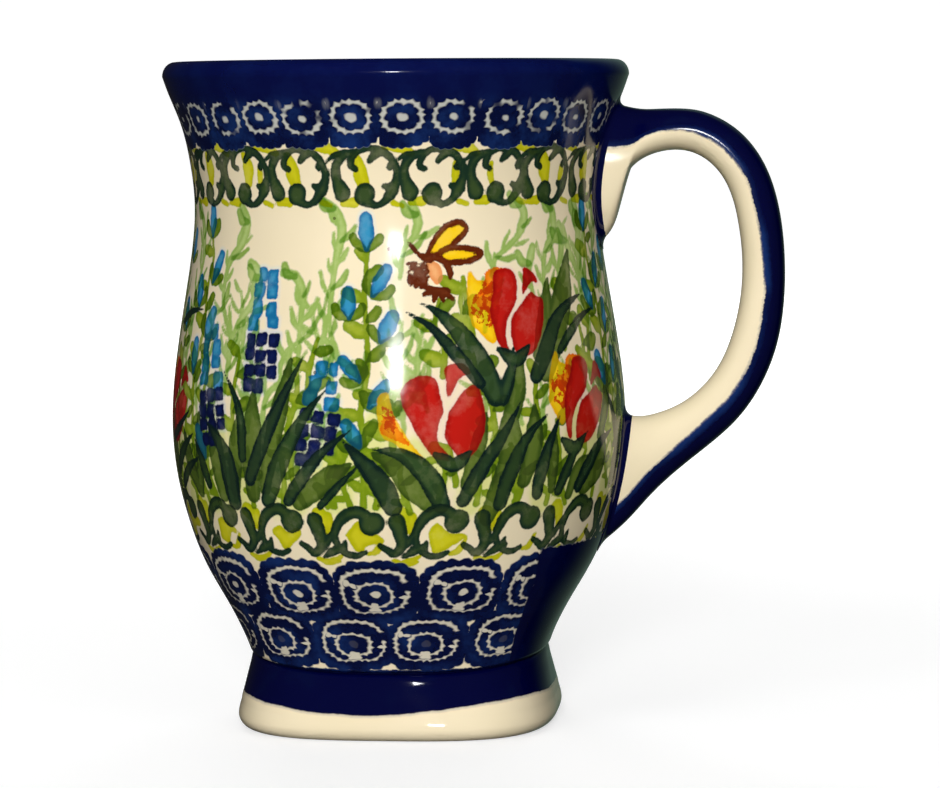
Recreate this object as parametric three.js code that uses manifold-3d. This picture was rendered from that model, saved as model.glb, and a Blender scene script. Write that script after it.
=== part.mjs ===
// A footed stoneware mug, in millimetres, +Z up, standing on z = 0.
//
// The mug is made as a potter makes it: a thrown-profile vessel, a rounded-square
// pedestal foot and a cast strap handle, luted together with beads of slip.
// Everything is built about the vessel's upright axis, with the handle towards +X,
// and the finished group is then centred on its own footprint.

import * as THREE from "three";
import { mergeVertices } from "three/addons/utils/BufferGeometryUtils.js";
import Module from "manifold-3d";

const wasm = await Module();
wasm.setup();

// ---- Driving dimensions -------------------------------------------------------

const HEIGHT = 128; // overall, a five-inch mug
const WAIST_Z = 12.4; // the groove where the vessel meets the foot
const WAIST_R = 29.4; // half-width of that groove
const BELLY_R = 44.2; // widest part of the body
const NECK_R = 39.3; // narrowest part under the flared rim
const LIP_R = 45.1; // outer edge of the lip
const LIP_HALF = 2.5; // half the lip's thickness
const LIP_RISE = 2.8; // height of the lip's rounded top
const WALL = 4.9; // wall thickness of the vessel
const FLOOR_Z = 17.6; // top of the vessel's floor

const FOOT_HALF = 31.0; // half-width of the rounded-square foot
const FOOT_EDGE = 2.4; // rounding of the foot's lower edge
const RING_WIDTH = 4.2; // flat standing ring under the foot
const RECESS_DEPTH = 8.4; // hollow inside the standing ring

const SQUARE_FOOT = 3.1; // superellipse exponent of the foot
const SQUARE_WAIST = 2.5; // superellipse exponent at the waist
const ROUND = 2; // exponent of a circle
const ROUND_FROM_Z = 44; // the vessel is round above this height

const CREASE = 0.9; // rounding where the handle's flat sides meet its crowned back
const INNER_ROUND = 3.1; // rounding of the handle's inner edges
const CROWN = 1.2; // rise of the handle's crowned back

const JOINT_GAP = 0.3; // clearance that keeps neighbouring solids apart
const BEAD = 1.1; // how far a slip bead reaches from its joint
const WAIST_BEAD = 0.4; // thickness of the slip layer under the vessel

const AROUND = 64; // facets round the vessel and the foot

// ---- Glazed colours -----------------------------------------------------------

const CREAM = 0xf0e2c4;
const COBALT = 0x0d1450;

function glazed(color) {
  return new THREE.MeshStandardMaterial({
    color,
    roughness: 0.12,
    metalness: 0,
  });
}

// ---- Shared shape helpers -----------------------------------------------------

// How square the mug is at a height: the exponent of its superellipse section.
function squareness(z) {
  if (z <= WAIST_Z) {
    const t = THREE.MathUtils.smoothstep(z, WAIST_Z * 0.4, WAIST_Z);
    return THREE.MathUtils.lerp(SQUARE_FOOT, SQUARE_WAIST, t);
  }
  const t = THREE.MathUtils.smoothstep(z, WAIST_Z, ROUND_FROM_Z);
  return THREE.MathUtils.lerp(SQUARE_WAIST, ROUND, t);
}

// Spins a profile of (radius, height) points about Z, with superellipse sections.
function spin(profile) {
  const geometry = new THREE.LatheGeometry(profile, AROUND).rotateX(Math.PI / 2);
  const at = geometry.attributes.position;
  const p = new THREE.Vector3();
  for (let i = 0; i < at.count; i++) {
    p.fromBufferAttribute(at, i);
    const radius = Math.hypot(p.x, p.y);
    if (radius < 1e-6) continue;
    const n = squareness(p.z);
    const c = Math.abs(p.x / radius) ** n;
    const s = Math.abs(p.y / radius) ** n;
    const stretch = (c + s) ** (-1 / n);
    at.setXY(i, p.x * stretch, p.y * stretch);
  }
  return geometry;
}

// Points along a smooth curve through the given (radius, height) pairs.
function smooth(pairs, steps) {
  const curve = new THREE.SplineCurve(pairs.map(([r, z]) => new THREE.Vector2(r, z)));
  return curve.getPoints(steps);
}

// Points of an elliptical arc in the (radius, height) plane, angles in degrees.
function arc(r, z, halfWidth, halfHeight, from, to, steps) {
  const points = [];
  for (let i = 0; i <= steps; i++) {
    const a = THREE.MathUtils.degToRad(THREE.MathUtils.lerp(from, to, i / steps));
    points.push(
      new THREE.Vector2(r + halfWidth * Math.cos(a), z + halfHeight * Math.sin(a)),
    );
  }
  return points;
}

// A closed three.js geometry as a manifold-3d solid.
function solid(geometry) {
  const bare = geometry.clone();
  bare.deleteAttribute("normal");
  bare.deleteAttribute("uv");
  const merged = mergeVertices(bare, 1e-3);
  return new wasm.Manifold(
    new wasm.Mesh({
      numProp: 3,
      vertProperties: merged.attributes.position.array,
      triVerts: new Uint32Array(merged.index.array),
    }),
  );
}

// A manifold-3d solid as a three.js geometry.
function geometryOf(body) {
  const mesh = body.getMesh();
  const positions = new Float32Array(mesh.numVert * 3);
  for (let i = 0; i < mesh.numVert; i++)
    for (let k = 0; k < 3; k++)
      positions[i * 3 + k] = mesh.vertProperties[i * mesh.numProp + k];
  const geometry = new THREE.BufferGeometry();
  geometry.setAttribute("position", new THREE.BufferAttribute(positions, 3));
  geometry.setIndex(new THREE.BufferAttribute(new Uint32Array(mesh.triVerts), 1));
  geometry.computeVertexNormals();
  return geometry;
}

function part(name, geometry, color) {
  const mesh = new THREE.Mesh(geometry, glazed(color));
  mesh.name = name;
  return mesh;
}

// ---- Vessel -------------------------------------------------------------------

const VESSEL_BASE_Z = WAIST_Z + WAIST_BEAD + 2 * JOINT_GAP;
const LIP_Z = HEIGHT - LIP_RISE;
const LIP_MID_R = LIP_R - LIP_HALF;

// The outer wall from the waist to the lip: belly, neck and flare.
const OUTER_WALL = [
  [WAIST_R, VESSEL_BASE_Z],
  [32.8, 22],
  [37.6, 30.4],
  [41, 38.4],
  [43.1, 46.4],
  [BELLY_R, 57.8],
  [43.2, 71.2],
  [41.3, 83.5],
  [39.7, 94],
  [NECK_R, 101],
  [40, 108.6],
  [41.7, 116.2],
  [44.2, 122.6],
  [LIP_R, LIP_Z],
];

// The inner wall from the lip down to the floor, one wall thickness in.
const INNER_WALL = [
  [LIP_MID_R - LIP_HALF, LIP_Z],
  [39, 121.5],
  [41.7 - WALL, 115.5],
  [NECK_R + 0.3 - WALL, 106],
  [NECK_R + 0.1 - WALL, 99],
  [41.3 - WALL, 83],
  [BELLY_R - WALL, 58],
  [41 - WALL, 39.5],
  [32.4, 30],
  [28, 22.8],
  [22, FLOOR_Z + 0.6],
];

// The vessel's closed section, grown outwards by a margin for use as a cutter.
function vesselProfile(margin) {
  const outer = smooth(OUTER_WALL, 26).map((p) => new THREE.Vector2(p.x + margin, p.y));
  const lip = arc(LIP_MID_R, LIP_Z, LIP_HALF + margin, LIP_RISE, 0, 180, 8);
  const inner = smooth(INNER_WALL, 18);
  return [
    new THREE.Vector2(0, VESSEL_BASE_Z),
    ...outer,
    ...lip.slice(1, -1),
    ...inner,
    new THREE.Vector2(0, FLOOR_Z),
  ];
}

const vesselShape = spin(vesselProfile(0));

// ---- Pedestal foot ------------------------------------------------------------

// A flared rounded-square foot with a flat standing ring and a hollow underside.
function footProfile() {
  const ringOuter = FOOT_HALF - FOOT_EDGE;
  const ringInner = ringOuter - RING_WIDTH;
  const flare = smooth(
    [
      [FOOT_HALF, FOOT_EDGE + 1],
      [FOOT_HALF - 0.2, 6],
      [FOOT_HALF - 0.7, 8.8],
      [WAIST_R - 0.2, WAIST_Z],
    ],
    7,
  );
  return [
    new THREE.Vector2(0, RECESS_DEPTH),
    new THREE.Vector2(ringInner - 4, RECESS_DEPTH - 0.3),
    new THREE.Vector2(ringInner - 1.4, RECESS_DEPTH - 1.8),
    new THREE.Vector2(ringInner, 0.6),
    new THREE.Vector2(ringInner + 0.6, 0),
    new THREE.Vector2(ringOuter, 0),
    ...arc(ringOuter, FOOT_EDGE, FOOT_EDGE, FOOT_EDGE, -90, 0, 5).slice(1),
    ...flare,
    new THREE.Vector2(0, WAIST_Z),
  ];
}

// The ring of slip that lutes the foot's rim to the vessel's base.
function waistBeadProfile() {
  const low = WAIST_Z + JOINT_GAP;
  const high = low + WAIST_BEAD;
  const inner = WAIST_R - 9;
  const outer = WAIST_R - 0.5;
  return [
    new THREE.Vector2(inner, low),
    new THREE.Vector2(outer, low),
    new THREE.Vector2(outer, high),
    new THREE.Vector2(inner, high),
    new THREE.Vector2(inner, low),
  ];
}

// ---- Handle -------------------------------------------------------------------

// Stations from the upper root to the lower root: a point on the back of the strap,
// the matching point on its inner face, both as [x, z], and the strap's width there.
const HANDLE = [
  [[38.5, 120.9], [36.6, 91.6], 13.6],
  [[44.3, 118.9], [41, 94.6], 13],
  [[47.5, 118.4], [43.2, 99.6], 12.6],
  [[51, 118.4], [45.6, 106.4], 12.2],
  [[55.5, 118.4], [51, 109.9], 12],
  [[60.5, 117.3], [57.3, 109.9], 11.8],
  [[66, 114.2], [61.6, 107.1], 11.6],
  [[70.6, 108.6], [64.6, 102.1], 11.4],
  [[73.6, 100.5], [66.1, 97.2], 11.2],
  [[75, 88.8], [66.8, 88.4], 11],
  [[74.3, 76.8], [66, 78.3], 10.8],
  [[71.6, 67.6], [63.6, 71], 10.6],
  [[66.6, 59.5], [60, 65.8], 10.3],
  [[60, 53.1], [55.2, 61.7], 10],
  [[53.6, 48], [50.6, 59.7], 9.8],
  [[48.6, 43.2], [47.2, 59], 9.8],
  [[44.8, 39], [44.8, 59.2], 10],
  [[37.6, 32.8], [40.6, 59.9], 10.6],
];
const HANDLE_STEPS = 30;

// One section of the strap in its own plane: across is the width, back is the
// distance from the inner face. Flat sides, rounded inner edges, a crowned back.
function strapSection(thick, width, margin) {
  const half = width / 2 + margin;
  const inner = -margin;
  const crown = Math.min(CROWN, thick / 4);
  const shoulder = thick + margin - crown;
  const shape = new THREE.Shape();
  shape.moveTo(-half + INNER_ROUND, inner);
  shape.lineTo(half - INNER_ROUND, inner);
  shape.quadraticCurveTo(half, inner, half, inner + INNER_ROUND);
  shape.lineTo(half, shoulder - CREASE);
  shape.quadraticCurveTo(half, shoulder, half - CREASE, shoulder + CREASE * 0.3);
  shape.quadraticCurveTo(0, shoulder + crown * 2 - CREASE * 0.3, -half + CREASE, shoulder + CREASE * 0.3);
  shape.quadraticCurveTo(-half, shoulder, -half, shoulder - CREASE);
  shape.lineTo(-half, inner + INNER_ROUND);
  shape.quadraticCurveTo(-half, inner, -half + INNER_ROUND, inner);
  return shape.getPoints(4).slice(0, -1);
}

// The strap lofted through its stations, grown by a margin where it is a cutter.
function handleGeometry(margin) {
  const through = (pick) =>
    new THREE.CatmullRomCurve3(HANDLE.map((s) => new THREE.Vector3(...pick(s))));
  const backs = through(([back]) => [back[0], 0, back[1]]);
  const inners = through(([, inner]) => [inner[0], 0, inner[1]]);
  const widths = through(([, , width]) => [width, 0, 0]);
  const rings = [];
  for (let i = 0; i <= HANDLE_STEPS; i++) {
    const t = i / HANDLE_STEPS;
    const foot = inners.getPoint(t);
    const rise = backs.getPoint(t).sub(foot);
    const thick = rise.length();
    rise.normalize();
    rings.push(
      strapSection(thick, widths.getPoint(t).x, margin).map((p) =>
        new THREE.Vector3(foot.x + rise.x * p.y, p.x, foot.z + rise.z * p.y),
      ),
    );
  }
  return loft(rings);
}

// A closed geometry through rings of equal point counts, with flat end caps.
function loft(rings) {
  const count = rings[0].length;
  const positions = rings.flat().flatMap((p) => [p.x, p.y, p.z]);
  const index = [];
  for (let i = 0; i + 1 < rings.length; i++)
    for (let j = 0; j < count; j++) {
      const a = i * count + j;
      const b = i * count + ((j + 1) % count);
      index.push(a, b, b + count, a, b + count, a + count);
    }
  const last = (rings.length - 1) * count;
  for (let j = 1; j + 1 < count; j++) {
    index.push(0, j + 1, j);
    index.push(last, last + j, last + j + 1);
  }
  const geometry = new THREE.BufferGeometry();
  geometry.setAttribute("position", new THREE.Float32BufferAttribute(positions, 3));
  geometry.setIndex(index);
  return geometry;
}

// Everything inside the vessel's outer surface, for trimming what is luted to it.
function vesselCutter(margin) {
  const outer = vesselProfile(margin).filter((p) => p.x > 0);
  const wall = outer.slice(0, 27);
  return solid(
    spin([
      new THREE.Vector2(0, VESSEL_BASE_Z - 3),
      new THREE.Vector2(wall[0].x, VESSEL_BASE_Z - 3),
      ...wall,
      new THREE.Vector2(LIP_R, HEIGHT + 3),
      new THREE.Vector2(0, HEIGHT + 3),
    ]),
  );
}

const vesselFace = vesselCutter(JOINT_GAP);
const handleSolid = solid(handleGeometry(0)).subtract(vesselFace);

// A fillet of slip: what lies near both the vessel's wall and the handle's root,
// kept to the half of the handle above or below the given height.
function slipBead(keepUpper) {
  const nearWall = vesselCutter(JOINT_GAP + BEAD);
  const nearRoot = solid(handleGeometry(JOINT_GAP + BEAD));
  const band = new THREE.BoxGeometry(60, 40, 48);
  band.translate(50, 0, keepUpper ? 104 : 47);
  return nearRoot
    .intersect(nearWall)
    .intersect(solid(band))
    .subtract(vesselFace)
    .subtract(solid(handleGeometry(JOINT_GAP)));
}

// ---- Assembly -----------------------------------------------------------------

const mug = new THREE.Group();
mug.name = "footed_mug";
mug.add(
  part("vessel", vesselShape, CREAM),
  part("pedestal_foot", spin(footProfile()), CREAM),
  part("waist_slip_joint", spin(waistBeadProfile()), COBALT),
  part("handle", geometryOf(handleSolid), CREAM),
  part("upper_slip_joint", geometryOf(slipBead(true)), COBALT),
  part("lower_slip_joint", geometryOf(slipBead(false)), COBALT),
);

// The origin is the middle of the whole mug's footprint, on the standing plane.
const extent = new THREE.Box3().setFromObject(mug, true);
mug.position.x = -(extent.min.x + extent.max.x) / 2;

export default mug;
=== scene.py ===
"""A hand-painted, footed stoneware mug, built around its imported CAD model.

Lengths are in millimetres until a mesh is made, and the scene is in metres. Angles go round the
vessel's axis in degrees: 0 faces the front (-Y), 90 is the handle (+X).
"""

import math
import random
from functools import reduce

import bpy
import numpy as np
from mathutils import Matrix, Vector


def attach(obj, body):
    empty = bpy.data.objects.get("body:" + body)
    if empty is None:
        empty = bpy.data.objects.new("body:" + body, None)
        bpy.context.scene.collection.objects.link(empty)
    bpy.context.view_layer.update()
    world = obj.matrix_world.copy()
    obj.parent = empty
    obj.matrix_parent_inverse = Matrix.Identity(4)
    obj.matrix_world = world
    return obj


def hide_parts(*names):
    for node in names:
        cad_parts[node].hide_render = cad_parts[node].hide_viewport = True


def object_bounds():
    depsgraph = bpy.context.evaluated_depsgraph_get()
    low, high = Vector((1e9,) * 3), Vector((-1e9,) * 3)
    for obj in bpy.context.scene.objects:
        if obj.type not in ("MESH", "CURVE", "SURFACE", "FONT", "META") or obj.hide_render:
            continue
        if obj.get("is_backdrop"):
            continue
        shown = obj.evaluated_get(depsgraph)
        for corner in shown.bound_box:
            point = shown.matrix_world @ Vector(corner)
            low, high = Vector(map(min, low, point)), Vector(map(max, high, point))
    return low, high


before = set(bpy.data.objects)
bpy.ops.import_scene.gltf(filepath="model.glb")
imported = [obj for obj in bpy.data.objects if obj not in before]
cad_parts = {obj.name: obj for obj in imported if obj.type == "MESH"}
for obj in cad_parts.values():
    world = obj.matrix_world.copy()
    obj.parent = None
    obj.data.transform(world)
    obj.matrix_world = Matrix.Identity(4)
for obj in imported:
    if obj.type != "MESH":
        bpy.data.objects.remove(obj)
cad_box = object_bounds()

# ---- Sizes, as in the CAD model ----------------------------------------------------------------

MM = 0.001
AXIS_X = -14.96  # the vessel's axis in the row frame
HEIGHT = 128.0
WAIST_Z = 12.4
WALL_BASE_Z = 13.2
LIP_R = 45.1
LIP_HALF = 2.5
LIP_RISE = 2.8
LIP_Z = HEIGHT - LIP_RISE
FLOOR_Z = 17.6
FOOT_HALF = 31.0
FOOT_EDGE = 2.4
RING_WIDTH = 4.2
RECESS_DEPTH = 8.4
WOBBLE = 0.12

OUTER_WALL = [
    (29.3, WALL_BASE_Z), (32.8, 22), (37.6, 30.4), (41, 38.4), (43.1, 46.4), (44.2, 57.8),
    (43.2, 71.2), (41.3, 83.5), (39.7, 94), (39.3, 101), (40, 108.6), (41.7, 116.2),
    (44.2, 122.6), (LIP_R, LIP_Z),
]
INNER_WALL = [
    (LIP_R - 2 * LIP_HALF, LIP_Z), (39, 121.5), (36.8, 115.5), (34.7, 106), (34.5, 99),
    (36.4, 83), (39.3, 58), (36.1, 39.5), (32.4, 30), (28, 22.8), (22, 18.2), (12, FLOOR_Z),
    (0, FLOOR_Z),
]

AROUND = 560  # columns of the painted wall
WALL_ROWS = 236  # its rows from the waist to the lip, about 0.5 apart
FOOT_COLUMNS = 256
LINER_COLUMNS = 192
MM_PER_DEG = 0.733  # a degree on the wall, for drawing
TURN = 360 * MM_PER_DEG


# ---- Curves and meshes -------------------------------------------------------------------------


def spline(points, count):
    """Points evenly spaced along a natural cubic spline through the given points."""
    p = np.array(points, float)
    t = np.concatenate([[0], np.cumsum(np.linalg.norm(np.diff(p, axis=0), axis=1))])
    h = np.diff(t)
    n = len(p)
    a = np.eye(n)
    b = np.zeros_like(p)
    for i in range(1, n - 1):
        a[i, i - 1 : i + 2] = h[i - 1], 2 * (h[i - 1] + h[i]), h[i]
        b[i] = 6 * ((p[i + 1] - p[i]) / h[i] - (p[i] - p[i - 1]) / h[i - 1])
    m = np.linalg.solve(a, b)
    s = np.linspace(0, t[-1], count)
    k = np.clip(np.searchsorted(t, s, "right") - 1, 0, n - 2)
    u, v, w = (s - t[k])[:, None], (t[k + 1] - s)[:, None], h[k][:, None]
    return (
        (m[k] * v**3 + m[k + 1] * u**3) / (6 * w)
        + (p[k] / w - m[k] * w / 6) * v
        + (p[k + 1] / w - m[k + 1] * w / 6) * u
    )


def squareness(z):
    """Exponent of the superellipse section at a height: square in the foot, round in the belly."""

    def step(low, high):
        t = np.clip((z - low) / (high - low), 0, 1)
        return t * t * (3 - 2 * t)

    below = 3.1 + (2.5 - 3.1) * step(WAIST_Z * 0.4, WAIST_Z)
    above = 2.5 + (2.0 - 2.5) * step(WAIST_Z, 44)
    return np.where(z <= WAIST_Z, below, above)


def ring_points(radius, z, angles):
    """A superellipse ring about the vessel's axis, as an array of points in mm."""
    x, y = np.sin(np.radians(angles)), -np.cos(np.radians(angles))
    n = squareness(np.asarray(z, float))
    k = radius * (np.abs(x) ** n + np.abs(y) ** n) ** (-1 / n)
    return np.stack([AXIS_X + x * k, y * k, np.full_like(x, z)], 1)


def spin(profile, columns):
    """Rings of points, one for each (radius, height) of a profile."""
    angles = np.arange(columns) * 360.0 / columns
    return np.array([ring_points(r, z, angles) for r, z in profile])


def wobble(rows):
    """Shifts rings outwards and inwards a little, as hand-finished clay does."""
    x, y, z = rows[..., 0] - AXIS_X, rows[..., 1], rows[..., 2]
    a = np.arctan2(x, -y)
    d = np.sin(2 * a + 0.8 + z / 60) + 0.6 * np.sin(3 * a + 2.1 - z / 45) + 0.5 * np.sin(z / 9 + 1)
    r = np.maximum(np.hypot(x, y), 1e-6)
    out = rows.copy()
    out[..., 0] += x / r * d * WOBBLE
    out[..., 1] += y / r * d * WOBBLE
    return out


def settle(rows):
    """Lifts the waist crease a little at the mug's two sides."""
    x, y, z = rows[..., 0] - AXIS_X, rows[..., 1], rows[..., 2]
    side = np.abs(x) / np.maximum(np.hypot(x, y), 1e-6)
    out = rows.copy()
    out[..., 2] += 1.8 * side**3 * np.exp(-(((z - 13) / 6.5) ** 2)) * (z > 5)
    return out


def grid(name, rows, close_first=False, close_last=False):
    """A smooth mesh through rings of points in mm, each ring closed on itself."""
    nv, nu = rows.shape[:2]
    verts = rows.reshape(-1, 3)
    i, j = np.meshgrid(np.arange(nv - 1), np.arange(nu), indexing="ij")
    a, b = i * nu + j, i * nu + (j + 1) % nu
    faces = np.stack([a, b, b + nu, a + nu], -1).reshape(-1, 4).tolist()
    verts = verts.tolist()
    for close, ring in ((close_first, 0), (close_last, nv - 1)):
        if close:
            centre = len(verts)
            verts.append(rows[ring].mean(0).tolist())
            start = ring * nu
            for k in range(nu):
                edge = [start + k, start + (k + 1) % nu]
                faces.append([centre] + (edge[::-1] if ring == 0 else edge))
    return make_mesh(name, (np.array(verts) * MM).tolist(), faces)


def make_mesh(name, verts, faces):
    """A smooth mesh in the scene, from vertices in metres."""
    mesh = bpy.data.meshes.new(name)
    mesh.from_pydata(verts, [], faces)
    mesh.update()
    mesh.shade_smooth()
    return make_object(name, mesh)


def make_object(name, data):
    obj = bpy.data.objects.new(name, data)
    bpy.context.scene.collection.objects.link(obj)
    return obj


def attribute(obj, name, values):
    """Stores one number, or three, per vertex for the shader to read."""
    values = np.asarray(values, np.float32)
    vector = values.ndim == 2
    layer = obj.data.attributes.new(name, "FLOAT_VECTOR" if vector else "FLOAT", "POINT")
    layer.data.foreach_set("vector" if vector else "value", values.ravel())


def lip_arc(start, end, steps):
    """Part of the lip's rounded edge: 0 degrees is outermost, 180 innermost."""
    a = np.radians(np.linspace(start, end, steps))
    return np.stack([LIP_R - LIP_HALF + LIP_HALF * np.cos(a), LIP_Z + LIP_RISE * np.sin(a)], 1)


# ---- The painter -------------------------------------------------------------------------------
# Each pigment is a field on the wall: the distance in mm to the nearest brush mark's edge, negative
# inside the mark. The glaze material turns the fields into paint, in the order of TINTS.

TINTS = {  # in the middle of a mark, near its edge, and how far it hides what is under it
    "wash": ((226, 224, 146), (232, 228, 156), 0.0), "sage": ((182, 202, 120), (150, 178, 88), 0.1),
    "sage_over": ((166, 190, 100), (136, 166, 76), 0.15), "lime": ((208, 202, 30), (188, 184, 14), 0.2),
    "olive": ((156, 170, 44), (124, 146, 24), 0.2), "olive_over": ((120, 142, 36), (92, 118, 20), 0.3),
    "leaf": ((96, 114, 46), (64, 86, 30), 0.45), "sky": ((56, 146, 176), (26, 108, 148), 0.35),
    "indigo": ((18, 30, 84), (8, 18, 62), 0.75), "yellow": ((250, 206, 22), (244, 184, 10), 0.5),
    "peach": ((242, 176, 116), (232, 150, 88), 0.6), "orange": ((244, 150, 26), (234, 118, 10), 0.4),
    "speckle": ((222, 104, 16), (204, 84, 12), 0.3), "red": ((192, 28, 18), (166, 18, 12), 0.6),
    "brown": ((122, 54, 24), (92, 34, 10), 0.7), "dark": ((52, 76, 42), (18, 42, 34), 0.65),
    "dark_over": ((46, 68, 44), (15, 38, 36), 0.65), "scroll": ((56, 76, 38), (24, 48, 34), 0.6),
}  # fmt: skip
PIGMENTS = list(TINTS)
FAR = 1.8  # mm: as far outside a mark as a field is kept

wall_profile = spline(OUTER_WALL, WALL_ROWS)
wall_profile = np.vstack([wall_profile, lip_arc(0, 180, 17)[1:]])
wall_z = wall_profile[:, 1]
field = {name: np.full((len(wall_profile), AROUND), FAR) for name in PIGMENTS}
column_mm = TURN / AROUND
rng = random.Random(7)


def window(points, margin):
    """Rows and columns of the wall near the given (mm, mm) points, and where they are."""
    low, high = points.min(0) - margin, points.max(0) + margin
    rows = np.nonzero((wall_z > low[1]) & (wall_z < high[1]))[0]
    cols = np.arange(math.floor(low[0] / column_mm), math.ceil(high[0] / column_mm) + 1)
    x, y = np.meshgrid(cols * column_mm, wall_z[rows])
    return np.ix_(rows, cols % AROUND), np.stack([x, y], -1)


def on_wall(points):
    return np.array(points, float) * [MM_PER_DEG, 1]


def smooth_path(p, closed=False, steps=6):
    """A Catmull-Rom path through the points."""
    if len(p) < 3:
        return p
    if closed:
        p = np.vstack([p[-1:], p, p[:2]])
    else:
        p = np.vstack([2 * p[0] - p[1], p, 2 * p[-1] - p[-2]])
    t = np.linspace(0, 1, steps, endpoint=False)[:, None]
    out = []
    for a, b, c, d in zip(p, p[1:], p[2:], p[3:]):
        out.append(
            0.5 * (2 * b + (c - a) * t + (2 * a - 5 * b + 4 * c - d) * t**2
                   + (3 * b - a - 3 * c + d) * t**3)
        )  # fmt: skip
    return np.vstack(out + ([] if closed else [p[-2:-1]]))


def distances(q, a, b):
    """Distance from each point of q to each segment a-b, and how far along it the nearest is."""
    ba = b - a
    h = ((q[..., None, :] - a) * ba).sum(-1) / np.maximum((ba**2).sum(-1), 1e-9)
    h = np.clip(h, 0, 1)
    return np.linalg.norm(q[..., None, :] - a - h[..., None] * ba, axis=-1), h


def stroke(pigment, points, widths):
    """One brush mark through (angle, height) points, with its widths in mm along the way."""
    p = smooth_path(on_wall(points))
    along = np.concatenate([[0], np.cumsum(np.hypot(*np.diff(p, axis=0).T))])
    along /= max(along[-1], 1e-6)
    radius = np.interp(along, np.linspace(0, 1, len(widths)), widths) / 2
    where, q = window(p, max(widths) / 2 + FAR)
    d, h = distances(q, p[:-1], p[1:])
    d = (d - radius[:-1] - h * np.diff(radius)).min(-1)
    field[pigment][where] = np.minimum(field[pigment][where], d)


def fill(pigment, outline):
    """A painted area inside a closed, smoothed (angle, height) outline."""
    p = smooth_path(on_wall(outline), closed=True, steps=4)
    nxt = np.roll(p, -1, 0)
    where, q = window(p, FAR)
    d = distances(q, p, nxt)[0].min(-1)
    x, y = q[..., None, 0], q[..., None, 1]
    rises = (p[:, 1] > y) != (nxt[:, 1] > y)
    slope = (nxt[:, 0] - p[:, 0]) / np.where(nxt[:, 1] == p[:, 1], 1e-9, nxt[:, 1] - p[:, 1])
    inside = (rises & (x < p[:, 0] + (y - p[:, 1]) * slope)).sum(-1) % 2 == 1
    field[pigment][where] = np.minimum(field[pigment][where], np.where(inside, -d, d))


def placed(points, at, scale=1.0, turn=0.0):
    """Local (mm, mm) points as (angle, height), scaled, turned and moved to at."""
    c, s = math.cos(math.radians(turn)), math.sin(math.radians(turn))
    return [
        (at[0] + scale * (x * c - y * s) / MM_PER_DEG, at[1] + scale * (x * s + y * c)) for x, y in points
    ]


def jitter(size):
    """A random shift, up to size either way."""
    return rng.uniform(-size, size)


# ---- Motifs ------------------------------------------------------------------------------------

TULIP = [
    ("yellow", [(-9.6, 8.2), (-10.4, 4.5), (-10, -1), (-8.4, -3.2), (-5.9, -5.4), (-4.6, -3), (-4.8, 4),
                (-6.6, 6.1), (-8.2, 6.4)]),
    ("orange", [(-6.4, 7.6), (-4, 8.6), (-2.2, 8), (-3.6, 3), (-4.6, -1.8), (-6.2, -1.2), (-6.8, 1),
                (-8.8, 1.4), (-8.2, 4), (-6.6, 4.4)]),
    ("speckle", [(-6.2, 5.8), (-4.6, 5.6), (-4.2, 1), (-4.8, -1.6), (-6.4, -2.2), (-8.8, -0.4), (-9.6, 2),
                 (-7.6, 4.6)]),
    ("red", [(-4.6, 7.6), (-1.6, 8.4), (0.3, 6.8), (0.2, 3.4), (-0.6, 1.5), (-2.1, -0.4), (-2.8, -2.2),
             (-3.1, -4.6), (-2.5, -7.4), (-3.4, -7.6), (-4.9, -5), (-5.7, -2), (-5.9, 1.4), (-5, 4.4)]),
    ("red", [(-1.9, -2.4), (-1.2, -0.2), (0.7, 1.5), (2.3, 3), (3.6, 3.8), (4.5, 3.1), (6.2, 2.4), (6.1, 0),
             (5.5, -2.6), (4.4, -5), (2.8, -7.1), (0.6, -8), (-1.2, -7.2), (-1.9, -5)]),
    ("red", [(2.3, 8.4), (3.8, 7.9), (5.5, 6.1), (5.1, 5.3), (3.9, 5.6), (2.7, 4.4), (1.7, 3.5), (1.4, 4),
             (1.9, 6.2)]),
]  # fmt: skip
BROAD_TULIP = [  # its left petal spreads over its yellow side
    ("yellow", [(-11.6, 2.4), (-9.6, 3.6), (-8.9, 0.2), (-7, -3.4), (-5, -6.6), (-3.6, -8.4), (-6.4, -8),
                (-8.6, -5.6), (-11, -4)]),
    ("orange", [(-11, -1.2), (-9, -0.6), (-7.4, -3.6), (-6, -6), (-8.4, -5), (-10.6, -4)]),
    ("speckle", [(-10.6, 0.4), (-9.2, 0.4), (-8, -2.8), (-9.8, -3.4)]),
    ("red", [(-7.2, 4.6), (-5, 6.5), (-2.6, 6.7), (-1.2, 5.8), (-0.5, 3.1), (0, 0.2), (-0.7, -1.7),
             (-1.2, -4.1), (-0.7, -6), (1.2, -8.7), (-1.7, -8.4), (-4.1, -5), (-6.3, -0.7), (-7.5, 2.2)]),
    ("red", [(1.4, 0.7), (4.1, 4.1), (6.3, 4.6), (7.5, 1.2), (7.5, -3.1), (6, -7), (3.6, -8.9), (1.9, -7.5),
             (0.2, -4.6), (0.5, -1.7)]),
    ("red", [(0.5, 8.2), (3.6, 8.9), (5.3, 7), (3.1, 6), (1, 2.6), (0.6, 5.5)]),
]  # fmt: skip


def fill_all(areas, *spot):
    """Fills each (pigment, outline) of a motif, placed at a spot."""
    for pigment, outline in areas:
        fill(pigment, placed(outline, *spot))


def stroke_all(pigment, marks, *spot):
    """Paints each (points, widths) of a motif, placed at a spot."""
    for points, widths in marks:
        stroke(pigment, placed(points, *spot), widths)


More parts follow.
